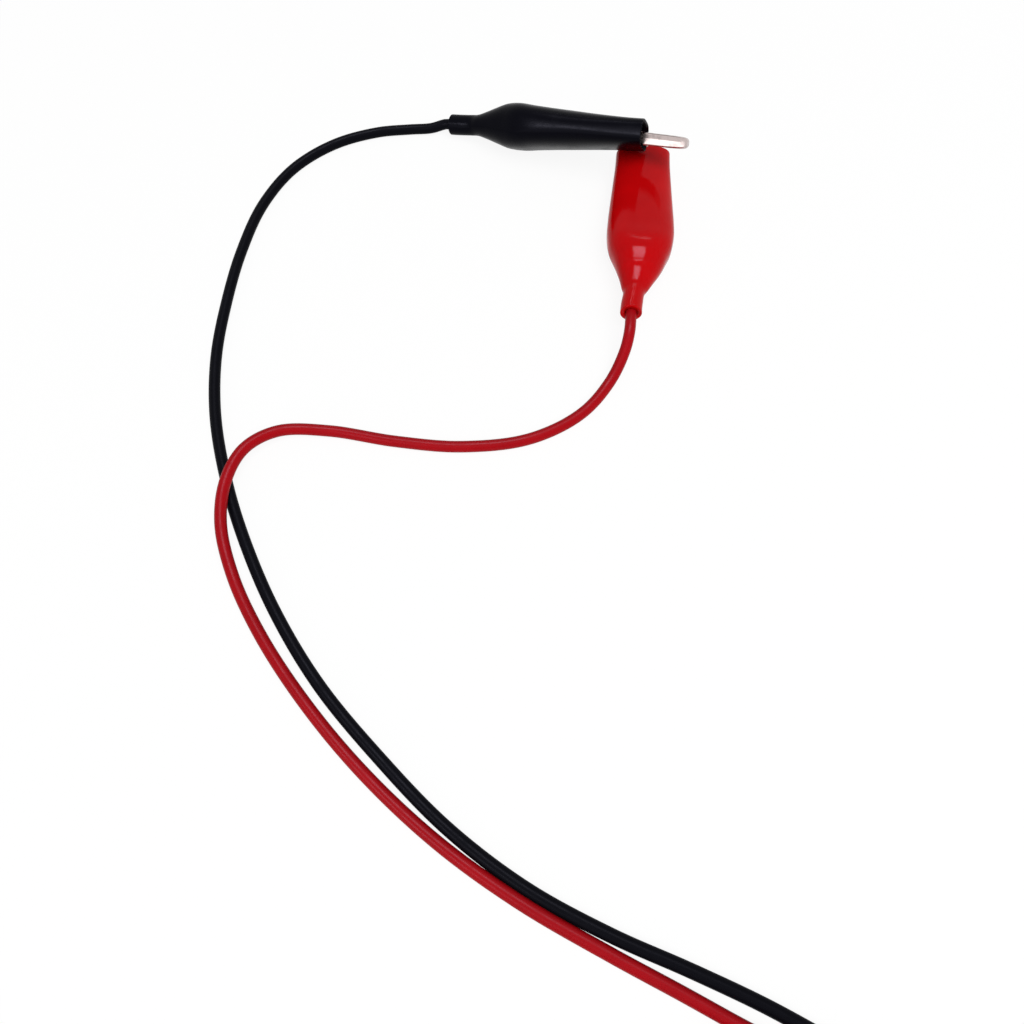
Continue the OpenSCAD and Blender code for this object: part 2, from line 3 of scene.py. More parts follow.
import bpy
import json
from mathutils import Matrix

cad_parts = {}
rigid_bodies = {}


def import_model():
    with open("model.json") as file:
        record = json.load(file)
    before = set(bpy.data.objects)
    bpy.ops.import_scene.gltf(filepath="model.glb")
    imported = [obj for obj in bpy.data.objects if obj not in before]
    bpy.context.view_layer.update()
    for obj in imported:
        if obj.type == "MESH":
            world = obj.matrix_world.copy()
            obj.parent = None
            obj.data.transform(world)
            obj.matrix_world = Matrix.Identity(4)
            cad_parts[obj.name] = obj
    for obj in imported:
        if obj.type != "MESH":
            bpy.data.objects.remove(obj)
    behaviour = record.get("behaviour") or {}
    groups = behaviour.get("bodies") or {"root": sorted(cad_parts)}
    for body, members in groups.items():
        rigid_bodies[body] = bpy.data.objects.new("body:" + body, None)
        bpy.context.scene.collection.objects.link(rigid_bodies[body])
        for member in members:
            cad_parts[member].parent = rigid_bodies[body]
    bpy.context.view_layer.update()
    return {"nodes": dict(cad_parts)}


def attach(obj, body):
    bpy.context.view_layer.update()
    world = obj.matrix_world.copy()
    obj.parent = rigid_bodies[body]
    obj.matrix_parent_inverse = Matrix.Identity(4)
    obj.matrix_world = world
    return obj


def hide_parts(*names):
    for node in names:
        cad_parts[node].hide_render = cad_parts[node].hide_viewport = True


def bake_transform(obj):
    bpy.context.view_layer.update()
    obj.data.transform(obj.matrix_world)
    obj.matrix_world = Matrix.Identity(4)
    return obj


bl_info = {
    "name": "Crocodile clip test leads",
    "version": (1, 0, 0),
    "blender": (4, 5, 0),
    "location": "3D View > Sidebar > Test leads",
    "description": "Boots, jaws, springs, leads and plug of two test leads, with a plain stage",
    "category": "Object",
}

import json
import math

import bpy
import numpy as np
from mathutils import Matrix, Vector

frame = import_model()

MM = 0.001
ROOT = "leads"
CLIPS = ("black", "red")

# The camera, as the photograph was taken: place in metres, tilt in degrees, lens and sensor in
# millimetres
CAMERA_AT = (-0.01057, -0.13626, 0.14373)
CAMERA_TILT = 26.0
LENS = 32.29
SENSOR = 36.0

# The lamps round the clips: name, azimuth and elevation in degrees, size in metres, watts, and
# whether each shows in a gloss and whether it lights matt surfaces too
LAMPS = (
    ("window", -1, 106, (0.56, 0.34), 14.0, True, False),
    ("window_rail", 5, 138, (0.55, 0.04), 0.6, True, False),
    ("ridge_light", -38, 48, (0.6, 0.16), 9.0, True, False),
    ("side_window", -38, 20, (0.75, 0.6), 2.0, True, True),
    ("sky", 12, 66, (0.9, 0.9), 13.5, False, True),
)
LAMP_DISTANCE = 1.15
LAMPS_AIM = (0.0, -0.02, 0.0)

# Half the table's side in metres, its paint, the share of plain white in what is seen of it, and
# the world's strength as a light
TABLE_HALF = 3
TABLE_PAINT = (0.9, 0.9, 0.9)
TABLE_SEEN_WHITE = 0.9
WORLD_LIGHT = 0.3

# Where each clip lies: the middle of its collar's mouth in millimetres, and its turns in degrees
TAIL = {"black": (-23.28, 26.22, 2.36), "red": (12.96, -27.45, 5.4)}
YAW = {"black": -19.75, "red": 84.75}
PITCH = {"black": 12.4, "red": -3.5}
ROLL = {"black": 131.0, "red": 0.0}

# How far the pull of the lead bends each collar aside and down, and the length that bends, in
# millimetres
BEND = {"black": (0.4, 0.47), "red": (1.24, 0.0)}
BEND_LENGTH = 13.0

# Slant of each boot's mouth in degrees, the line that it turns about as a share of the mouth's
# width, how far its free half reaches ahead, and the distance from the tail where all this begins
MOUTH_SLANT = {"black": (7.6, 0.2, 0.0), "red": (0.0, 0.0, 0.95)}
SLANT_FROM = 30.0

# Where the crease of the jaws' sheet runs, as a share of its half width, and how far the facets on
# its narrow and its wide side fall away from it
CREASE_AT = 0.2
FACET_FALL = (0.18, 0.06)

# Height of the fold where the handle's end presses each boot, its distance from the tail, and its
# half width
FOLD = {"black": 0.0, "red": 0.12}
FOLD_AT = 10.2
FOLD_WIDTH = 0.5

# Lean and roll of the jaws' nose against its boot in degrees, and how far it sits to one side
NOSE = {"black": (2.5, 12.0, 0.54), "red": (0.0, 0.0, 0.0)}

# Where the nose starts to roll, to sit aside and to lean, from the pivot, and over what length the
# first two come in
NOSE_ROLLS = (12, 5)
NOSE_SHIFTS = (11, 4)
NOSE_LEANS_FROM = 16

# Crimps and jaws, in millimetres: how far the crimps reach behind the handle, their lengths, the
# space between them, their wall, the jaws' plain tip, and how far an edge without teeth lies back
CRIMPS_REACH = 6
WIRE_CRIMP_LEN = 2.5
CONDUCTOR_CRIMP_LEN = 1.8
CRIMP_SPACE = 0.6
CRIMP_WALL = 0.4
PLAIN_TIP = 1.2
EDGE_RELIEF = 0.3

# Share of an ear's radius at which its round ends, and a step so short that it looks square
EAR_ENDS = 0.75
SQUARE_STEP = 0.004

# Turns of each lead's coil, points in a turn, and the share of a turn in which it changes layer
COIL_TURNS = 7
TURN_POINTS = 24
LAYER_CHANGE = 0.5

# Distance between the points of a lead's path in millimetres
LEAD_STEP = 0.8

# Edges of a CAD piece sharper than this, in degrees, are rounded
ROUNDED_ABOVE = 35

# Routes of the leads from the clips to their coils, in millimetres; the third number is the gap
# between the lead and the table
ROUTE = {
    "black": [
        (-28.04, 25.69, 0.3), (-32.7, 25.63, 0), (-39.73, 24.73, 0), (-48.57, 21.24, 0),
        (-56.57, 14.24, 0), (-61.92, 4.13, 0), (-64.8, -8.37, 0), (-66.08, -21.35, 0),
        (-66.27, -34.26, 0), (-64.57, -47.26, 0), (-60.86, -60.29, 0), (-56.27, -71.76, 0),
        (-49.57, -84.76, 0), (-41.07, -97.26, 0), (-30.57, -108.86, 0), (-20.07, -118.86, 0),
        (-8.57, -127.06, 0), (3.43, -133.16, 0), (14.43, -137.66, 0), (24.43, -142.06, 0),
        (34.43, -147.26, 0), (45.43, -153.26, 0.1), (51.56, -156.61, 0.3), (57.72, -159.98, 0.4),
    ],
    "red": [
        (11.21, -31.68, 4.2), (10.29, -34.93, 2.7), (7.53, -40.18, 0.6), (1.93, -46.86, 0),
        (-7.53, -52.08, 0), (-19.57, -53.66, 0), (-31.57, -52.56, 0), (-43.57, -50.52, 0.25),
        (-52.39, -51.15, 1.3), (-57.61, -55.19, 2.3), (-60.06, -61.57, 2.35), (-60.21, -69.25, 1.3),
        (-57.37, -78.26, 0.15), (-51.57, -88.66, 0), (-43.07, -100.06, 0), (-33.07, -110.86, 0),
        (-21.57, -120.76, 0), (-9.57, -128.76, 0), (2.93, -135.46, 0), (12.93, -140.46, 0),
        (20.93, -144.56, 0.15), (27.78, -147.86, 0.4),
    ],
}

# Middles of the coils, and the routes from the coils into the plug's pins; the third number is the
# height of the lead's middle
COIL_AT = {"black": (50.76, -172.78), "red": (21.13, -160.86)}
END_ROUTE = {
    "black": [
        (40.96, -187.58, 2.6), (31.43, -187.68, 1.4), (19.43, -187.73, 1.5), (9.43, -187.78, 3.1),
        (2.43, -187.78, 4.7), (-2.07, -187.785, 5), (-16.57, -187.785, 5),
    ],
    "red": [
        (14.43, -175.16, 3.1), (8.43, -172.86, 3.2), (2.93, -169.08, 4.7), (-2.07, -168.735, 5),
        (-16.57, -168.735, 5),
    ],
}


def length(name, default, text):
    """A size of the panel, in metres."""
    return bpy.props.FloatProperty(
        name=name, description=text, default=default, min=0.0,
        subtype="DISTANCE", unit="LENGTH", precision=5,
    )


def colour(name, default, text):
    """A colour of the panel, in linear red, green and blue."""
    return bpy.props.FloatVectorProperty(
        name=name, description=text, default=default, min=0.0, max=1.0, subtype="COLOR", size=3
    )


class TestLeadSizes(bpy.types.PropertyGroup):
    """Sizes of the leads, boots and jaws"""

    wire_d: length("Wire", 0.0021, "Outer diameter of a lead")
    coil_r: length("Coil radius", 0.0146, "Radius of a coil's outermost turn")
    turn_pitch: length("Turn pitch", 0.00215, "Distance between neighbouring turns")
    tie_t: length("Tie", 0.0004, "Thickness of the tie that a coil lies on")
    boot_len: length("Boot length", 0.043, "Length of a boot from its tail to its mouth")
    collar_d: length("Collar", 0.0041, "Diameter of a boot's collar")
    collar_len: length("Collar length", 0.0048, "Length of a boot's straight collar")
    boot_w: length("Boot width", 0.0132, "Width of a boot over the handles")
    boot_t: length("Boot thickness", 0.0088, "Thickness of a boot over the handles' ends")
    mouth_w: length("Mouth width", 0.0112, "Width of a boot's mouth")
    mouth_t: length("Mouth thickness", 0.0057, "Thickness of a boot's mouth")
    boot_wall: length("Boot wall", 0.0007, "Wall of a boot")
    black_pivot: length("Black pivot", 0.0252, "Distance from the black boot's tail to its pivot")
    red_pivot: length("Red pivot", 0.024, "Distance from the red boot's tail to its pivot")
    sheet_t: length("Sheet", 0.0004, "Thickness of the jaws' sheet")
    jaw_len: length("Jaw length", 0.0265, "Distance from the pivot to the jaws' tip")
    jaw_h: length("Jaw height", 0.00155, "Height of one jaw at the boot's mouth")
    jaw_w: length("Jaw width", 0.0022, "Width of the jaws at the boot's mouth")
    jaw_gap: length("Jaw gap", 0.00006, "Gap left between the closed jaws")
    ear_w: length("Ear width", 0.0044, "Width across the fixed jaw's ears")
    ear_r: length("Ear radius", 0.0026, "Radius of the ears round the pivot")
    pivot_gap: length("Pivot gap", 0.00005, "Running clearance between the ears")
    handle_w: length("Handle width", 0.005, "Width across the finger handles")
    handle_h: length("Handle height", 0.005, "Height of a handle's arch over the middle")
    handle_len: length("Handle length", 0.0106, "Distance from the pivot to a handle's end")
    tooth_pitch: length("Tooth pitch", 0.0012, "Pitch of the teeth")
    tooth_h: length("Tooth height", 0.0005, "Height of a tooth")
    spring_wire_d: length("Spring wire", 0.0005, "Diameter of the spring's wire")
    spring_r: length("Spring radius", 0.0015, "Mean radius of the spring's coil")
    conductor_d: length("Conductor", 0.0011, "Diameter of the bared conductor")


class TestLeadColours(bpy.types.PropertyGroup):
    """Colours of the insulation, boots and metal"""

    black_boot: colour("Black boot", (0.0018, 0.0018, 0.0034), "Soft sleeve of the black clip")
    red_boot: colour("Red boot", (0.44, 0.0015, 0.0025), "Soft sleeve of the red clip")
    black_wire: colour("Black lead", (0.003, 0.003, 0.0045), "Insulation of the black lead")
    red_wire: colour("Red lead", (0.305, 0.003, 0.006), "Insulation of the red lead")
    nickel: colour("Nickel", (0.56, 0.475, 0.46), "Plated jaws and pins")
    copper: colour("Copper", (0.72, 0.36, 0.2), "Bared strands")
    tie: colour("Tie", (0.012, 0.012, 0.014), "Bands round the coils")
    plug: colour("Plug", (0.010, 0.010, 0.012), "Moulded body of the plug")


class Millimetres:
    """The panel's sizes in millimetres, as the part's source gives them."""

    def __init__(self, sizes):
        for name in TestLeadSizes.__annotations__:
            setattr(self, name, getattr(sizes, name) / MM)
        self.pivot = {"black": self.black_pivot, "red": self.red_pivot}
        self.crimp_end = self.handle_len + CRIMPS_REACH
        self.conductor_end = self.crimp_end - WIRE_CRIMP_LEN - CRIMP_SPACE - CONDUCTOR_CRIMP_LEN


def clip_matrix(clip):
    """From a clip's frame, in millimetres from its collar's mouth, to the shared one in metres."""
    return (
        Matrix.Scale(MM, 4)
        @ Matrix.Translation(TAIL[clip])
        @ Matrix.Rotation(math.radians(YAW[clip]), 4, "Z")
        @ Matrix.Rotation(math.radians(-PITCH[clip]), 4, "Y")
        @ Matrix.Rotation(math.radians(ROLL[clip]), 4, "X")
    )


def placed(clip, points, ahead=0.0):
    """Points of a clip's frame, moved ahead along the clip, in the shared frame in metres."""
    place = np.array(clip_matrix(clip))
    return (np.asarray(points, float) + (ahead, 0.0, 0.0)) @ place[:3, :3].T + place[:3, 3]


def step_up(t):
    """0 before 0, 1 after 1, and a smooth rise between."""
    t = min(max(t, 0.0), 1.0)
    return t * t * (3 - 2 * t)


def bent(clip, x):
    """Where the middle of a clip's bent boot lies at a distance from its tail."""
    return np.array(BEND[clip]) * (1 - step_up(x / BEND_LENGTH))


def between(left, right, start, end, at):
    """What lies at a place on the straight line from left at start to right at end."""
    return ((end - at) * left + (at - start) * right) / (end - start)


def centripetal(points, per_span):
    """Points of a smooth curve through the given ones, whose uneven spacing makes no loops."""
    p = np.array(points, float)
    p = np.vstack([2 * p[0] - p[1], p, 2 * p[-1] - p[-2]])
    out = []
    for j in range(1, len(p) - 2):
        q = p[j - 1 : j + 3]
        t = np.concatenate([[0], np.cumsum(np.sqrt(np.linalg.norm(np.diff(q, axis=0), axis=1)))])
        for at in np.linspace(t[1], t[2], per_span, endpoint=False):
            a = [between(q[i], q[i + 1], t[i], t[i + 1], at) for i in range(3)]
            b = [between(a[i], a[i + 1], t[i], t[i + 2], at) for i in range(2)]
            out.append(between(b[0], b[1], t[1], t[2], at))
    out.append(p[-2])
    return np.array(out)


def even_steps(points, step):
    """The same line with its points at even steps of about the given length."""
    run = np.concatenate([[0], np.cumsum(np.linalg.norm(np.diff(points, axis=0), axis=1))])
    at = np.linspace(0, run[-1], int(round(run[-1] / step)) + 1)
    return np.stack([np.interp(at, run, points[:, k]) for k in range(3)], axis=1)


def mesh_object(name, vertices, faces, edges=(), sharp_above=None):
    """A linked object from plain lists. Edges sharper than the given angle stay sharp."""
    mesh = bpy.data.meshes.new(name)
    mesh.from_pydata([tuple(v) for v in vertices], list(edges), faces)
    mesh.polygons.foreach_set("use_smooth", [True] * len(mesh.polygons))
    if sharp_above is not None:
        mesh.set_sharp_from_angle(angle=math.radians(sharp_above))
    mesh.update()
    made = bpy.data.objects.new(name, mesh)
    bpy.context.scene.collection.objects.link(made)
    return made


def ring_faces(rings, around, closed_loop=False, cap=False):
    """Faces between rings that each have the same number of points round a closed section."""
    faces = []
    count = rings if closed_loop else rings - 1
    for j in range(count):
        for i in range(around):
            a, b = j * around + i, j * around + (i + 1) % around
            c, d = ((j + 1) % rings) * around + i, ((j + 1) % rings) * around + (i + 1) % around
            faces.append((a, b, d, c))
    if cap:
        faces.append(tuple(range(around - 1, -1, -1)))
        faces.append(tuple((rings - 1) * around + i for i in range(around)))
    return faces


class Recipe:
    """A Geometry Nodes tree in the making."""

    def __init__(self, name):
        self.tree = bpy.data.node_groups.new(name, "GeometryNodeTree")
        self.named = {}
        self.source = self.tree.nodes.new("NodeGroupInput")
        self.socket("Geometry", "NodeSocketGeometry")
        self.tree.interface.new_socket(
            name="Geometry", in_out="OUTPUT", socket_type="NodeSocketGeometry"
        )

    def socket(self, name, kind):
        """Adds a named input, and returns it as it comes out of the group's input node."""
        made = self.tree.interface.new_socket(name=name, in_out="INPUT", socket_type=kind)
        self.named[name] = made.identifier
        return self.source.outputs[name]

    def add(self, kind, inputs):
        """Adds a node with its inputs' values or links, and returns its first output."""
        node = self.tree.nodes.new(kind)
        for key, value in inputs.items():
            if isinstance(value, bpy.types.NodeSocket):
                self.tree.links.new(value, node.inputs[key])
            else:
                node.inputs[key].default_value = value
        return node.outputs[0]

    def finish(self, geometry):
        """Ends the tree in plain, smooth, dressed geometry."""
        material = self.socket("Material", "NodeSocketMaterial")
        real = self.add("GeometryNodeRealizeInstances", {"Geometry": geometry})
        dressed = self.add("GeometryNodeSetMaterial", {"Geometry": real, "Material": material})
        end = self.tree.nodes.new("NodeGroupOutput")
        self.tree.links.new(dressed, end.inputs[0])

    def cook(self, piece, **values):
        """Runs the tree on an object, whose mesh becomes the plain result."""
        modifier = piece.modifiers.new(self.tree.name, "NODES")
        modifier.node_group = self.tree
        for name, value in values.items():
            modifier[self.named[name]] = value
        bpy.context.view_layer.update()
        cooked = piece.evaluated_get(bpy.context.evaluated_depsgraph_get())
        made = bpy.data.meshes.new_from_object(cooked)
        piece.modifiers.remove(modifier)
        piece.data = made


RECIPES = {}


def sweep_recipe():
    """Round tube along a line of edges, with closed ends."""
    if "sweep" not in RECIPES:
        recipe = Recipe("Sweep")
        radius = recipe.socket("Radius", "NodeSocketFloat")
        sides = recipe.socket("Sides", "NodeSocketInt")
        line = recipe.add("GeometryNodeMeshToCurve", {"Mesh": recipe.source.outputs["Geometry"]})
        ring = recipe.add(
            "GeometryNodeCurvePrimitiveCircle", {"Radius": radius, "Resolution": sides}
        )
        tube = recipe.add(
            "GeometryNodeCurveToMesh", {"Curve": line, "Profile Curve": ring, "Fill Caps": True}
        )
        recipe.finish(recipe.add("GeometryNodeSetShadeSmooth", {"Geometry": tube}))
        RECIPES["sweep"] = recipe
    return RECIPES["sweep"]


def swept(name, lines, radius, sides, finish):
    """Tubes along one or more lines of points in metres."""
    points, edges = [], []
    for line in lines:
        first = len(points)
        points += [tuple(p) for p in line]
        edges += [(i, i + 1) for i in range(first, len(points) - 1)]
    piece = mesh_object(name, points, [], edges)
    sweep_recipe().cook(piece, Radius=radius, Sides=sides, Material=finish_of(finish))
    return piece


class Signal:
    """A socket of a shader tree that can be used in sums."""

    def __init__(self, tree, socket):
        self.tree = tree
        self.socket = socket

    def _math(self, operation, *operands):
        node = self.tree.nodes.new("ShaderNodeMath")
        node.operation = operation
        for slot, operand in zip(node.inputs, operands):
            feed(self.tree, slot, operand)
        return Signal(self.tree, node.outputs[0])

    def __add__(self, other):
        return self._math("ADD", self, other)

    def __radd__(self, other):
        return self._math("ADD", other, self)

    def __sub__(self, other):
        return self._math("SUBTRACT", self, other)

    def __rsub__(self, other):
        return self._math("SUBTRACT", other, self)

    def __mul__(self, other):
        return self._math("MULTIPLY", self, other)

    def __rmul__(self, other):
        return self._math("MULTIPLY", other, self)

    def most(self, other):
        """The larger of the two."""
        return self._math("MAXIMUM", self, other)

    def above(self, edge, softness):
        """0 below the edge, 1 above it, with a soft step between."""
        node = self.tree.nodes.new("ShaderNodeMapRange")
        node.interpolation_type = "SMOOTHSTEP"
        node.inputs["From Min"].default_value = edge - softness
        node.inputs["From Max"].default_value = edge + softness
        self.tree.links.new(self.socket, node.inputs["Value"])
        return Signal(self.tree, node.outputs["Result"])


def feed(tree, slot, value):
    """Links a signal to a socket, or sets the socket to a plain value."""
    if isinstance(value, Signal):
        tree.links.new(value.socket, slot)
    else:
        slot.default_value = value


class Finish:
    """A material in the making."""

    def __init__(self, name, colour, **fixed):
        self.material = bpy.data.materials.new(name)
        self.material.use_nodes = True
        self.tree = self.material.node_tree
        self.shader = self.tree.nodes["Principled BSDF"]
        self.shader.inputs["Base Color"].default_value = (*colour, 1.0)
        for socket, value in fixed.items():
            self.shader.inputs[socket.replace("_", " ")].default_value = value
        self.coordinates = self.node("TexCoord", "Object")

    def node(self, kind, output=0, settings=None, **inputs):
        """Adds a shader node with its settings, then its inputs, and returns the named output."""
        node = self.tree.nodes.new("ShaderNode" + kind)
        for key, value in (settings or {}).items():
            setattr(node, key, value)
        for key, value in inputs.items():
            feed(self.tree, node.inputs[key.replace("_", " ")], value)
        return Signal(self.tree, node.outputs[output])

    def noise(self, size, detail=2.0, roughness=0.5, stretch=None):
        """Noise whose patches are about the given size in metres."""
        place = self.coordinates
        if stretch is not None:
            place = self.node("Mapping", 0, Vector=place, Scale=stretch)
        return self.node(
            "TexNoise", 0, Vector=place, Scale=1 / size, Detail=detail, Roughness=roughness
        )

    def shade(self, first, second, share):
        """Mixes two colours, through the Mix node's colour sockets."""
        mixed = self.node("Mix", 2, {"data_type": "RGBA"}, Factor=share)
        for socket, paint in ((6, first), (7, second)):
            feed(self.tree, mixed.socket.node.inputs[socket], (*paint, 1.0))
        return mixed

    def set(self, **inputs):
        """Feeds the shader's own sockets."""
        for key, value in inputs.items():
            feed(self.tree, self.shader.inputs[key.replace("_", " ")], value)

    def bump(self, height, depth, strength):
        """Raises the surface by height times depth, in metres."""
        bump = self.node("Bump", "Normal", Strength=strength, Distance=depth, Height=height)
        self.set(Normal=bump)


def scaled(colour, factor):
    """A colour made darker or paler, at most white."""
    return tuple(min(1.0, c * factor) for c in colour[:3])


def soft_pvc(name, colour, roughness, gloss, worn):
    """Dipped or extruded soft PVC: glossy, a little uneven, with faint handling marks."""
    bluish = (0.8, 0.8, 1.0, 1.0)
    finish = Finish(name, colour, Specular_IOR_Level=gloss, Specular_Tint=bluish)
    cloud = finish.noise(0.006, 3.0)
    grain = finish.noise(0.0009, 4.0, 0.6)
    smear = finish.noise(0.0025, 5.0, 0.65)
    finish.set(
        Base_Color=finish.shade(scaled(colour, 0.86), scaled(colour, 1.16), cloud),
        Roughness=roughness - 0.05 + grain * 0.06 + smear.above(0.56, 0.08) * worn,
    )
    finish.bump(cloud * 0.6 + grain * 0.08, 0.00012, 0.3)
    return finish.material


def plated(name, colour, roughness):
    """Nickel on pressed sheet: fine draw lines, and a slightly dull, spotted plate."""
    finish = Finish(name, colour, Metallic=1.0)
    lines = finish.noise(0.0007, 3.0, 0.6, (0.25, 1.0, 1.0))
    spots = finish.noise(0.0016, 4.0, 0.6)
    finish.set(
        Base_Color=finish.shade(colour, scaled(colour, 0.72), spots.above(0.62, 0.12)),
        Roughness=roughness + lines * 0.1 + spots * 0.08,
    )
    finish.bump(lines, 0.000005, 0.4)
    return finish.material


def grained(name, colour, roughness, grain_size, depth):
    """Moulded or woven plastic with a fine even grain."""
    finish = Finish(name, colour)
    grain = finish.noise(grain_size, 3.0, 0.55)
    cloud = finish.noise(0.009, 2.0)
    finish.set(
        Base_Color=finish.shade(scaled(colour, 0.85), scaled(colour, 1.2), cloud),
        Roughness=roughness + grain * 0.12,
    )
    finish.bump(grain, depth, 0.6)
    return finish.material


FINISHES = {}


def finish_of(name):
    """The material of that name, made once."""
    if name not in FINISHES:
        chosen = bpy.context.scene.test_lead_colours
        tint = {key: tuple(getattr(chosen, key)) for key in TestLeadColours.__annotations__}
        FINISHES[name] = {
            "black_boot": lambda: soft_pvc("black_boot", tint["black_boot"], 0.28, 0.035, 0.06),
            "red_boot": lambda: soft_pvc("red_boot", tint["red_boot"], 0.11, 0.05, 0.05),
            "black_wire": lambda: soft_pvc("black_wire", tint["black_wire"], 0.36, 0.025, 0.12),
            "red_wire": lambda: soft_pvc("red_wire", tint["red_wire"], 0.34, 0.06, 0.12),
            "nickel": lambda: plated("nickel", tint["nickel"], 0.12),
            "spring_steel": lambda: plated("spring_steel", (0.5, 0.5, 0.5), 0.25),
            "plug_metal": lambda: plated("plug_metal", tint["nickel"], 0.14),
            "copper": lambda: plated("copper", tint["copper"], 0.3),
            "tie": lambda: grained("tie", tint["tie"], 0.7, 0.0004, 0.00012),
            "plug_plastic": lambda: grained("plug_plastic", tint["plug"], 0.42, 0.0005, 0.00003),
        }[name]()
    return FINISHES[name]


def dress(piece, name):
    """Gives a piece its one material."""
    piece.data.materials.clear()
    piece.data.materials.append(finish_of(name))


def coil_points(clip, start, s):
    """Two flat layers of turns, inwards and back out, from start to the coil's near side."""
    centre = np.array(COIL_AT[clip])
    low = s.tie_t + s.wire_d / 2
    first = math.atan2(start[1] - centre[1], start[0] - centre[0])
    turns = COIL_TURNS + (first + math.pi / 2) / (2 * math.pi)
    count = int(turns * TURN_POINTS)
    points = []
    for k in range(1, count + 1):
        turn = turns * k / count
        r = s.coil_r - s.turn_pitch * min(turn, turns - turn)
        z = low + s.turn_pitch * step_up((turn - turns / 2 + LAYER_CHANGE / 2) / LAYER_CHANGE)
        angle = first - 2 * math.pi * turn
        points.append((centre[0] + r * math.cos(angle), centre[1] + r * math.sin(angle), z))
    return points


def wire_start(clip, s):
    """A lead's stretch inside its clip, from the crimp out of the collar, in the clip's frame."""
    crimp = s.pivot[clip] - s.crimp_end
    near, far = BEND_LENGTH * 0.4, BEND_LENGTH * 0.26
    past_crimp, past_collar, lag = 0.4, 1.5, 0.9
    return [
        (crimp + WIRE_CRIMP_LEN, 0, 0), (crimp - past_crimp, 0, 0), (near, *bent(clip, near) * lag),
        (far, *bent(clip, far)), (0, *BEND[clip]), (-past_collar, *BEND[clip]),
    ]


def boot_stations(s):
    """Distance from the tail, half width, half thickness and squareness of a boot."""
    c, collar, w, t = s.collar_len, s.collar_d / 2, s.boot_w, s.boot_t
    return [
        (0, collar, collar, 2),
        (c * 0.5, collar, collar, 2),
        (c, collar, collar, 2),
        (c + 1.6, w * 0.2, t * 0.241, 2),
        (c + 3.6, w * 0.253, t * 0.308, 2.05),
        (c + 6, w * 0.322, t * 0.401, 2.2),
        (c + 8.6, w * 0.39, t * 0.488, 2.4),
        (c + 11.6, w * 0.466, t * 0.5, 2.7),
        (c + 15, w * 0.5, t * 0.458, 2.8),
        (c + 18.8, w * 0.498, t * 0.425, 2.7),
        (c + 22.8, w * 0.483, t * 0.4, 2.5),
        (c + 28.6, s.mouth_w * 0.538, s.mouth_t * 0.545, 2.7),
        (s.boot_len - 4, s.mouth_w * 0.508, s.mouth_t * 0.485, 3.2),
        (s.boot_len, s.mouth_w / 2, s.mouth_t * 0.47, 3.5),
    ]


def spline_rows(rows, per_span):
    """Rows of numbers on the smooth curve that the CAD's sections follow."""
    rows = np.array(rows, float)
    last = len(rows) - 1
    out = []
    for j in range(last):
        a, b, c, d = rows[max(j - 1, 0)], rows[j], rows[j + 1], rows[min(j + 2, last)]
        for t in np.linspace(0, 1, per_span, endpoint=False):
            square, cube = 2 * a - 5 * b + 4 * c - d, 3 * b - a - 3 * c + d
            out.append(0.5 * (2 * b + t * (c - a) + t * t * square + t**3 * cube))
    out.append(rows[-1])
    return np.array(out)


def oval(x, aside, a, b, power, around):
    """Superellipse of half width a and half thickness b, its middle aside of the clip's axis."""
    turn = np.linspace(0, 2 * math.pi, around, endpoint=False)
    c, s = np.cos(turn), np.sin(turn)
    y = aside[0] + a * np.sign(c) * np.abs(c) ** (2 / power)
    z = aside[1] + b * np.sign(s) * np.abs(s) ** (2 / power)
    return np.stack([np.full(around, x), y, z], axis=1)


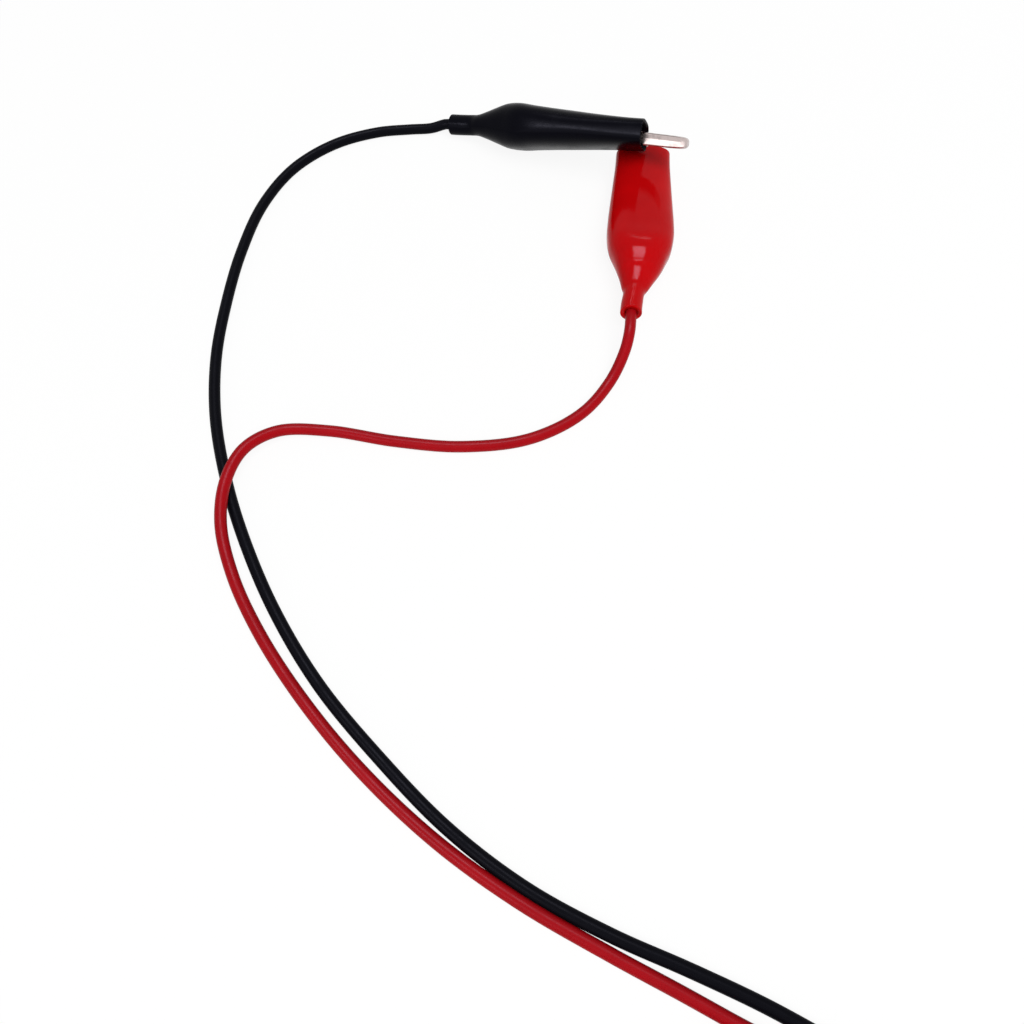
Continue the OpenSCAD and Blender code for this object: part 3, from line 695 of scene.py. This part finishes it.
def boot_rings(clip, s):
    """Rings of a boot's skin: along the outside, round the mouth's lip and back inside."""
    around, lip, chamfer, wire_play = 96, 0.12, 1.3, 0.05
    flare_depth, flare_run, bore_opens = 0.07, 0.8, 3
    bore = s.wire_d / 2 + wire_play
    rows = spline_rows(boot_stations(s), 10)
    end = s.boot_len
    outer_x = [x for x in rows[:, 0] if lip < x < end - lip]
    arc = [math.radians(a) for a in (0, 18, 36, 54, 72, 90)]

    def outer(x, inset=0.0):
        a, b, power = (float(np.interp(x, rows[:, 0], rows[:, k])) for k in (1, 2, 3))
        return bent(clip, x), a - inset, b - inset, power, around

    def inner(x, inset=0.0):
        aside, a, b, power, _ = outer(x)
        t = step_up((x - s.collar_len * 0.8) / bore_opens)
        flare = flare_depth * (1 - step_up(x / flare_run)) - inset
        a, b = (max(bore, bore + (h - s.boot_wall - bore) * t) + flare for h in (a, b))
        return aside, a, b, power, around

    rings = [oval(lip * (1 - math.cos(a)), *outer(lip, lip * (1 - math.sin(a)))) for a in arc]
    rings += [oval(x, *outer(x)) for x in outer_x]
    for a in arc:
        x, inset = end - lip + lip * math.sin(a), lip * (1 - math.cos(a))
        rings.append(oval(x, *outer(end - lip, inset)))
    for share in (0.06, 0.3, 0.6, 0.94, 1.0):
        rings.append(oval(end - chamfer * share, *inner(end, -(s.boot_wall - lip) * (1 - share))))
    rings += [oval(x, *inner(x)) for x in reversed(outer_x) if x < end - chamfer - 0.05]
    rings.append(oval(0.05, *inner(0.0)))
    for ring in rings[: len(arc) + len(outer_x)]:
        fold = FOLD[clip] * math.exp(-(((ring[0, 0] - FOLD_AT) / FOLD_WIDTH) ** 2))
        ring[:, 2] += fold * np.clip(ring[:, 2] / ring[:, 2].max(), 0, 1) ** 2
    angle, hinge, reach = MOUTH_SLANT[clip]
    slope = math.tan(math.radians(angle))
    free_from, free_whole, lessens_from, lessening = 0.2, 1.2, 1.4, 0.11
    for ring in rings:
        share = step_up((ring[0, 0] - SLANT_FROM) / (end - SLANT_FROM))
        free = np.array([step_up((-free_from - y) / free_whole) for y in ring[:, 1]])
        kept = 1 + lessening * np.minimum(ring[:, 1] + lessens_from, 0)
        ring[:, 0] += reach * free * kept * share
        ring[:, 0] += slope * (ring[:, 1] - s.mouth_w * hinge) * share
    return rings


def front_stations(s, half):
    """Jaw ahead of the pivot: distance, mouth side's height, back's height and half width."""
    low, mouth = -s.tooth_h / 2, s.boot_len - s.black_pivot
    return [
        (s.ear_r * 0.7, low, s.handle_h * 0.83, half),
        (s.ear_r * 1.2, low, s.handle_h * 0.78, half),
        (s.jaw_len * 0.36, low, s.jaw_h * 1.85, (half + s.jaw_w / 2) * 0.47),
        (mouth, low, s.jaw_h, s.jaw_w * 0.55),
        (s.jaw_len - 3, low, s.jaw_h * 0.8, s.jaw_w * 0.52),
        (s.jaw_len - 1, low, s.jaw_h * 0.7, s.jaw_w * 0.49),
        (s.jaw_len - 0.3, low, s.jaw_h * 0.64, s.jaw_w * 0.41),
        (s.jaw_len, low, s.jaw_h * 0.52, s.jaw_w * 0.25),
    ]


def handle_stations(s, half, holds_wire):
    """Jaw behind the pivot: a finger pad, or a spoon that comes back to the wire."""
    h, w, r = s.handle_h, s.handle_w, s.ear_r
    near = [
        (-s.handle_len * 0.5, h - 2, h, w * 0.48),
        (-r * 1.65, h - 2.5, h - 0.05, w * 0.42),
        (-r * 1.15, h - 2.4, h - 0.15, half),
        (-r * 0.4, 0, h - 0.6, half),
    ]
    if not holds_wire:
        return [
            (-s.handle_len, h - 2.2, h - 1.1, w * 0.42),
            (-s.handle_len + 1.5, h - 2.1, h - 0.6, w * 0.48),
            (-s.handle_len * 0.66, h - 1.7, h - 0.1, w / 2),
        ] + near
    crimp, wire = s.conductor_d / 2 + CRIMP_WALL, s.wire_d / 2 + CRIMP_WALL
    return [
        (-s.conductor_end - 1.5, crimp - 0.15, wire, crimp),
        (-s.conductor_end, crimp - 0.1, wire + 0.1, crimp),
        (-s.handle_len + 1.6, h - 2.7, h - 1.1, w * 0.4),
        (-s.handle_len * 0.66, h - 1.9, h - 0.3, w * 0.48),
    ] + near


def jaw_edge(s, side, x, low):
    """Height of a jaw's free edge: the handle's rim, the ear's round and the teeth."""
    count = math.floor(s.jaw_len * 0.6 / s.tooth_pitch)
    start = s.jaw_len - PLAIN_TIP - count * s.tooth_pitch
    if x < -s.ear_r:
        return low
    if x < s.ear_r * EAR_ENDS:
        return -math.sqrt(max(s.ear_r**2 - x * x, 0.0))
    if x < start - s.tooth_pitch / 2:
        return s.jaw_gap / 2 + EDGE_RELIEF
    if x >= s.jaw_len - PLAIN_TIP:
        return s.jaw_gap / 2
    phase = (x - start) / s.tooth_pitch
    wave = 1 - 2 * abs(2 * (phase - math.floor(phase)) - 1)
    return s.jaw_gap / 2 + side * wave * s.tooth_h / 2


def jaw_sections(s, rows):
    """Where a jaw's sections lie: eight to a tooth, more at the tip, two at each step."""
    tip, ear_ends = s.jaw_len, s.ear_r * EAR_ENDS
    xs = set(np.round(np.arange(tip - PLAIN_TIP, rows[0][0], -s.tooth_pitch / 8), 4))
    xs |= {rows[0][0], -s.ear_r - SQUARE_STEP, -s.ear_r, ear_ends - SQUARE_STEP, ear_ends}
    xs |= set(np.round(np.linspace(tip - PLAIN_TIP, tip, 13), 4))
    return sorted(xs)


def jaw_rings(s, side, half):
    """Section loops of a jaw's folded sheet, drawn with its back towards +Y."""
    rows = spline_rows(handle_stations(s, half, side < 0) + front_stations(s, half), 12)
    tip, least, flank_points, off_crease = s.jaw_len, 0.03, 24, 0.02
    squareness = (-s.handle_len, -s.ear_r, tip - 4, tip), (2.8, 4.6, 7.0, 4.0)
    narrow_fall, wide_fall = FACET_FALL
    rings = []
    for x in jaw_sections(s, rows):
        low, high, width = (float(np.interp(x, rows[:, 0], rows[:, k])) for k in (1, 2, 3))
        edge = jaw_edge(s, side, x, low)
        base = -s.ear_r if abs(x) <= s.ear_r else low
        power = float(np.interp(x, *squareness))
        folded = step_up((x - 12) / 3) * step_up((tip - 0.8 - x) / 1.5)
        closed = step_up((x - tip + 1.1) / 0.3)
        limit = max(edge, s.jaw_gap / 2 + EDGE_RELIEF) if x > 0 else edge
        loop = []
        for shrink in (0.0, s.sheet_t):
            top, aside = max(high - shrink, edge + least), max(width - shrink, least)
            if shrink:
                top, aside = top + (edge + least - top) * closed, aside * (1 - 0.9 * closed)
            first, steady = (
                math.asin(min(max((height - base) / (top - base), 0.0), most) ** (power / 2))
                for height, most in ((edge, 1.0), (limit, 0.9))
            )
            steady += off_crease
            near = np.array([0.3, 0.15, 0.05, 0, -0.05, -0.15, -0.35]) + CREASE_AT
            crease = math.pi / 2 - np.sign(near) * np.arcsin(np.abs(near) ** (power / 2))
            turn = np.concatenate([
                [first], np.linspace(steady, crease[0] - off_crease, flank_points), crease,
                np.linspace(crease[-1] + off_crease, math.pi - steady, flank_points),
                [math.pi - first],
            ])
            y = base + (top - base) * np.sin(turn) ** (2 / power)
            z = np.sign(np.cos(turn)) * np.abs(np.cos(turn)) ** (2 / power)
            if not shrink:
                off = z - CREASE_AT
                fall = np.where(off > 0, narrow_fall, wide_fall)
                y -= folded * fall * aside * np.abs(off) * (np.sin(turn) > 0.5)
            loop.append(np.stack([np.full(len(turn), x), np.maximum(y, edge), -aside * z], axis=1))
        rings.append(np.concatenate([loop[0], loop[1][::-1]]))
    return rings


def nose_set(clip, points):
    """Leans and rolls the jaws' nose as it stands in its clip; distances run from the pivot."""
    lean, roll, shift = NOSE[clip]
    x, y, z = points.T
    rolled, shifted = (
        np.array([step_up((v - start) / run) for v in x])
        for start, run in (NOSE_ROLLS, NOSE_SHIFTS)
    )
    angle = np.radians(roll) * rolled
    z = z + shift * shifted + math.tan(math.radians(lean)) * np.maximum(x - NOSE_LEANS_FROM, 0)
    c, s = np.cos(angle), np.sin(angle)
    return np.stack([x, y * c - z * s, y * s + z * c], axis=1)


def crimp_solids(s):
    """The crimps of the jaw that holds the wire, and the strip that joins them."""
    wire, conductor = s.wire_d / 2, s.conductor_d / 2
    edge, play = 0.1, 0.02
    solids = []
    for x, run, bore in (
        (-s.crimp_end, WIRE_CRIMP_LEN, wire),
        (-s.conductor_end - CONDUCTOR_CRIMP_LEN, CONDUCTOR_CRIMP_LEN, conductor),
    ):
        skin = bore + CRIMP_WALL
        profile = [
            (x, skin - edge), (x + edge, skin), (x + run - edge, skin),
            (x + run, skin - edge), (x + run, bore + play), (x, bore + play),
        ]
        solids.append(solid([oval(at, (0, 0), r, r, 2, 40) for at, r in profile], closed_loop=True))
    half = (conductor + CRIMP_WALL) * 0.75
    corners = [(y, z) for y in (wire + CRIMP_WALL, conductor + 0.25) for z in (-half, half)]
    order = (0, 1, 3, 2)
    strip = [np.array([(x, *corners[i]) for i in order]) for x in (-s.crimp_end, -s.conductor_end)]
    solids.append(solid(strip, cap=True))
    return solids


def solid(rings, closed_loop=False, cap=False):
    """Vertices and outward faces of a closed skin through its rings."""
    vertices = np.concatenate(rings)
    faces = ring_faces(len(rings), len(rings[0]), closed_loop, cap)
    if signed_volume(vertices, faces) < 0:
        faces = [face[::-1] for face in faces]
    return vertices, faces


def signed_volume(vertices, faces):
    """Six times the volume in a closed skin, negative where its faces point inwards."""
    total = 0.0
    for face in faces:
        p = vertices[list(face)]
        for k in range(1, len(p) - 1):
            total += float(np.dot(p[0], np.cross(p[k], p[k + 1])))
    return total


def combined(name, solids, clip, ahead, mirrored=False, sharp_above=None):
    """One object from closed skins drawn in a clip's frame, ahead of its tail."""
    vertices, faces, first = [], [], 0
    for points, skin in solids:
        if mirrored:
            points = points * (1, -1, 1)
            skin = [face[::-1] for face in skin]
        vertices.append(placed(clip, nose_set(clip, points) if ahead else points, ahead))
        faces += [tuple(i + first for i in face) for face in skin]
        first += len(points)
    return mesh_object(name, np.concatenate(vertices), faces, sharp_above=sharp_above)


def spring_line(s):
    """Middle line of a torsion spring: leg, coil and leg."""
    turns, turn_gap, arch_drop, leg_gap = 3, 0.05, 0.12, 0.06
    leg_x = -s.handle_len * 0.6
    leg_y = s.handle_h - arch_drop - s.sheet_t - s.spring_wire_d / 2 - leg_gap
    touch = math.atan2(leg_y, leg_x) - math.acos(s.spring_r / math.hypot(leg_x, leg_y))
    sweep = 2 * touch + 2 * turns * math.pi
    rise = (s.spring_wire_d + turn_gap) * sweep / (2 * math.pi)
    share = np.linspace(0, 1, 150)
    angle = touch - sweep * share
    x, y = s.spring_r * np.cos(angle), s.spring_r * np.sin(angle)
    coil = np.stack([x, y, rise * (share - 0.5)], axis=1)
    return np.concatenate([[(leg_x, leg_y, -rise / 2)], coil, [(leg_x, -leg_y, rise / 2)]])


def strand_lines(start, run, across):
    """Seven strands laid together, the six outer ones twisted, along X from a point."""
    step, twist, outer_ones = 0.25, 0.45, 6
    along = np.linspace(0, run, max(int(abs(run) / step), 8))
    lines = [np.stack([along, 0 * along, 0 * along], axis=1) + start]
    for k in range(outer_ones):
        angle = k * math.pi / 3 + along * twist
        y, z = across / 3 * np.cos(angle), across / 3 * np.sin(angle)
        lines.append(np.stack([along, y, z], axis=1) + start)
    return lines


def soften(piece, width, segments=3):
    """Rounds the sharp edges of a CAD mesh."""
    bevel = piece.modifiers.new("soft edges", "BEVEL")
    bevel.width = width
    bevel.segments = segments
    bevel.limit_method = "ANGLE"
    bevel.angle_limit = math.radians(ROUNDED_ABOVE)
    bevel.use_clamp_overlap = True
    piece.data.polygons.foreach_set("use_smooth", [True] * len(piece.data.polygons))
    piece.data.set_sharp_from_angle(angle=math.radians(ROUNDED_ABOVE))


class TESTLEADS_OT_camera(bpy.types.Operator):
    """Sets the camera where the photograph was taken from"""

    bl_idname = "testleads.camera"
    bl_label = "Camera"

    def execute(self, context):
        data = bpy.data.cameras.new("camera")
        data.sensor_width = SENSOR
        data.lens = LENS
        data.clip_start, data.clip_end = 0.005, 10.0
        camera = bpy.data.objects.new("camera", data)
        context.scene.collection.objects.link(camera)
        camera.location = CAMERA_AT
        camera.rotation_euler = (math.radians(CAMERA_TILT), 0.0, 0.0)
        context.scene.camera = camera
        return {"FINISHED"}


class TESTLEADS_OT_leads(bpy.types.Operator):
    """Lays each lead from its crimp, round by the coil that stores its length, to the plug"""

    bl_idname = "testleads.leads"
    bl_label = "Leads"

    def execute(self, context):
        s = Millimetres(context.scene.test_lead_sizes)
        for clip in CLIPS:
            lying = [(x, y, gap + s.wire_d / 2) for x, y, gap in ROUTE[clip]]
            inside = [tuple(p / MM) for p in placed(clip, wire_start(clip, s))]
            points = inside + lying + coil_points(clip, lying[-1], s) + END_ROUTE[clip]
            path = even_steps(centripetal(points, 12), LEAD_STEP) * MM
            lead = swept(clip + "_lead_whole", [path], s.wire_d / 2 * MM, 20, clip + "_wire")
            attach(lead, ROOT)
            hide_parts(clip + "_lead", clip + "_coil", clip + "_lead_end")
        return {"FINISHED"}


class TESTLEADS_OT_boots(bpy.types.Operator):
    """Makes the soft sleeve of each clip, with rounded lips at the collar and at the mouth"""

    bl_idname = "testleads.boots"
    bl_label = "Boots"

    def execute(self, context):
        s = Millimetres(context.scene.test_lead_sizes)
        for clip in CLIPS:
            skin = solid(boot_rings(clip, s), closed_loop=True)
            boot = combined(clip + "_boot_sleeve", [skin], clip, 0)
            dress(boot, clip + "_boot")
            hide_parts(clip + "_boot")
            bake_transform(boot)
        return {"FINISHED"}


class TESTLEADS_OT_jaws(bpy.types.Operator):
    """Folds each clip's two toothed jaws, and winds the spring between their handles"""

    bl_idname = "testleads.jaws"
    bl_label = "Jaws"

    def execute(self, context):
        s = Millimetres(context.scene.test_lead_sizes)
        fixed_half = s.ear_w / 2
        moving_half = fixed_half - s.sheet_t - s.pivot_gap
        for clip in CLIPS:
            pivot = s.pivot[clip]
            fixed = [solid(jaw_rings(s, -1, fixed_half), cap=True)] + crimp_solids(s)
            moving = [solid(jaw_rings(s, 1, moving_half), cap=True)]
            for part, solids, body in (("fixed", fixed, ROOT), ("moving", moving, clip + "_jaw")):
                jaw = combined(f"{clip}_{part}_sheet", solids, clip, pivot, part == "fixed", 32)
                dress(jaw, "nickel")
                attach(jaw, body)
                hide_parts(f"{clip}_{part}_jaw")
            line = placed(clip, spring_line(s), pivot)
            radius = s.spring_wire_d / 2 * MM
            spring = swept(clip + "_spring_wire", [line], radius, 12, "spring_steel")
            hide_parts(clip + "_spring")
            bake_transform(spring)
        return {"FINISHED"}


class TESTLEADS_OT_fittings(bpy.types.Operator):
    """Lays the bared strands and finishes the rivets, ties, plug body, pins and screws"""

    bl_idname = "testleads.fittings"
    bl_label = "Fittings"

    def execute(self, context):
        s = Millimetres(context.scene.test_lead_sizes)
        across, radius = s.conductor_d, s.conductor_d / 6 * MM
        past_crimp, in_pin = 0.4, 8.4
        run = s.crimp_end - WIRE_CRIMP_LEN - s.conductor_end + past_crimp
        for clip in CLIPS:
            start = (-s.crimp_end + WIRE_CRIMP_LEN, 0, 0)
            near = [placed(clip, line, s.pivot[clip]) for line in strand_lines(start, run, across)]
            far = [line * MM for line in strand_lines(END_ROUTE[clip][-1], -in_pin, across)]
            for name, strands, node in (
                (clip + "_strands", near, clip + "_conductor"),
                ("plug_strands_" + clip, far, "plug_conductor_" + clip),
            ):
                piece = swept(name, strands, radius, 10, "copper")
                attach(piece, ROOT)
                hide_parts(node)
            for node, finish, width in (
                (clip + "_pivot_rivet", "nickel", 0.08),
                (clip + "_tie", "tie", 0.12),
                ("plug_pin_" + clip, "plug_metal", 0.1),
            ):
                dress(frame["nodes"][node], finish)
                soften(frame["nodes"][node], width * MM)
        dress(frame["nodes"]["plug_set_screws"], "plug_metal")
        soften(frame["nodes"]["plug_set_screws"], 0.1 * MM)
        dress(frame["nodes"]["plug_body"], "plug_plastic")
        soften(frame["nodes"]["plug_body"], 0.5 * MM, 4)
        return {"FINISHED"}


def area_light(name, at, aim, size, power):
    """A rectangular lamp in metres and watts that faces a point."""
    data = bpy.data.lights.new(name, "AREA")
    data.shape = "RECTANGLE"
    data.size, data.size_y = size
    data.energy = power
    lamp = bpy.data.objects.new(name, data)
    bpy.context.scene.collection.objects.link(lamp)
    lamp.location = at
    lamp.rotation_euler = (Vector(at) - Vector(aim)).to_track_quat("Z", "Y").to_euler()
    return lamp


def seen_by(tree):
    """1 for what the camera sees straight, in a gloss or through glass."""
    node = tree.nodes.new("ShaderNodeLightPath")
    seen = Signal(tree, node.outputs["Is Camera Ray"])
    for output in ("Is Glossy Ray", "Is Transmission Ray"):
        seen = seen.most(Signal(tree, node.outputs[output]))
    return seen


class TESTLEADS_OT_stage(bpy.types.Operator):
    """Puts the pair on a white table under a large window and a softer fill"""

    bl_idname = "testleads.stage"
    bl_label = "Stage"

    def execute(self, context):
        far = TABLE_HALF
        corners = [(-far, -far, 0), (far, -far, 0), (far, far, 0), (-far, far, 0)]
        floor = mesh_object("floor", corners, [(0, 1, 2, 3)])
        white = bpy.data.materials.new("white_table")
        white.use_nodes = True
        tree = white.node_tree
        shader = tree.nodes["Principled BSDF"]
        shader.inputs["Base Color"].default_value = (*TABLE_PAINT, 1.0)
        shader.inputs["Roughness"].default_value = 0.6
        glow = tree.nodes.new("ShaderNodeEmission")
        glow.inputs["Strength"].default_value = 1.0
        mix = tree.nodes.new("ShaderNodeMixShader")
        seen = seen_by(tree) * TABLE_SEEN_WHITE
        tree.links.new(seen.socket, mix.inputs["Fac"])
        tree.links.new(shader.outputs["BSDF"], mix.inputs[1])
        tree.links.new(glow.outputs["Emission"], mix.inputs[2])
        tree.links.new(mix.outputs["Shader"], tree.nodes["Material Output"].inputs["Surface"])
        floor.data.materials.append(white)

        world = bpy.data.worlds.new("studio")
        context.scene.world = world
        world.use_nodes = True
        tree = world.node_tree
        background = tree.nodes["Background"]
        background.inputs["Color"].default_value = (1.0, 1.0, 1.0, 1.0)
        strength = WORLD_LIGHT + seen_by(tree) * (1 - WORLD_LIGHT)
        tree.links.new(strength.socket, background.inputs["Strength"])

        middle = Vector(LAMPS_AIM)
        soft = bpy.data.collections.new("soft_parts")
        for piece in context.scene.objects:
            if "boot" in piece.name or "lead" in piece.name:
                soft.objects.link(piece)
        for name, azimuth, elevation, size, power, in_gloss, on_matt in LAMPS:
            up, round_z = math.radians(elevation), math.radians(azimuth)
            towards = Vector((math.sin(round_z), -math.cos(up) * math.cos(round_z), math.sin(up)))
            lamp = area_light(name, middle + LAMP_DISTANCE * towards, middle, size, power)
            lamp.visible_glossy, lamp.visible_diffuse = in_gloss, on_matt
            if not on_matt:
                lamp.light_linking.receiver_collection = soft
        context.scene.view_settings.view_transform = "Standard"
        return {"FINISHED"}


class TESTLEADS_PT_panel(bpy.types.Panel):
    """Lists the sizes, the colours and the steps"""

    bl_idname = "TESTLEADS_PT_panel"
    bl_label = "Test leads"
    bl_space_type = "VIEW_3D"
    bl_region_type = "UI"
    bl_category = "Test leads"

    def draw(self, context):
        for group in (context.scene.test_lead_sizes, context.scene.test_lead_colours):
            column = self.layout.column()
            for name in group.__annotations__:
                column.prop(group, name)
        for operator in STEPS:
            self.layout.operator(operator.bl_idname)


STEPS = (
    TESTLEADS_OT_camera,
    TESTLEADS_OT_fittings,
    TESTLEADS_OT_leads,
    TESTLEADS_OT_boots,
    TESTLEADS_OT_jaws,
    TESTLEADS_OT_stage,
)
CLASSES = (TestLeadSizes, TestLeadColours, *STEPS, TESTLEADS_PT_panel)


def register():
    for cls in CLASSES:
        bpy.utils.register_class(cls)
    bpy.types.Scene.test_lead_sizes = bpy.props.PointerProperty(type=TestLeadSizes)
    bpy.types.Scene.test_lead_colours = bpy.props.PointerProperty(type=TestLeadColours)


def unregister():
    del bpy.types.Scene.test_lead_colours
    del bpy.types.Scene.test_lead_sizes
    for cls in reversed(CLASSES):
        bpy.utils.unregister_class(cls)


def main():
    register()
    bpy.ops.testleads.camera()
    bpy.ops.testleads.fittings()
    bpy.ops.testleads.leads()
    bpy.ops.testleads.boots()
    bpy.ops.testleads.jaws()
    bpy.ops.testleads.stage()


if __name__ == "__main__":
    main()
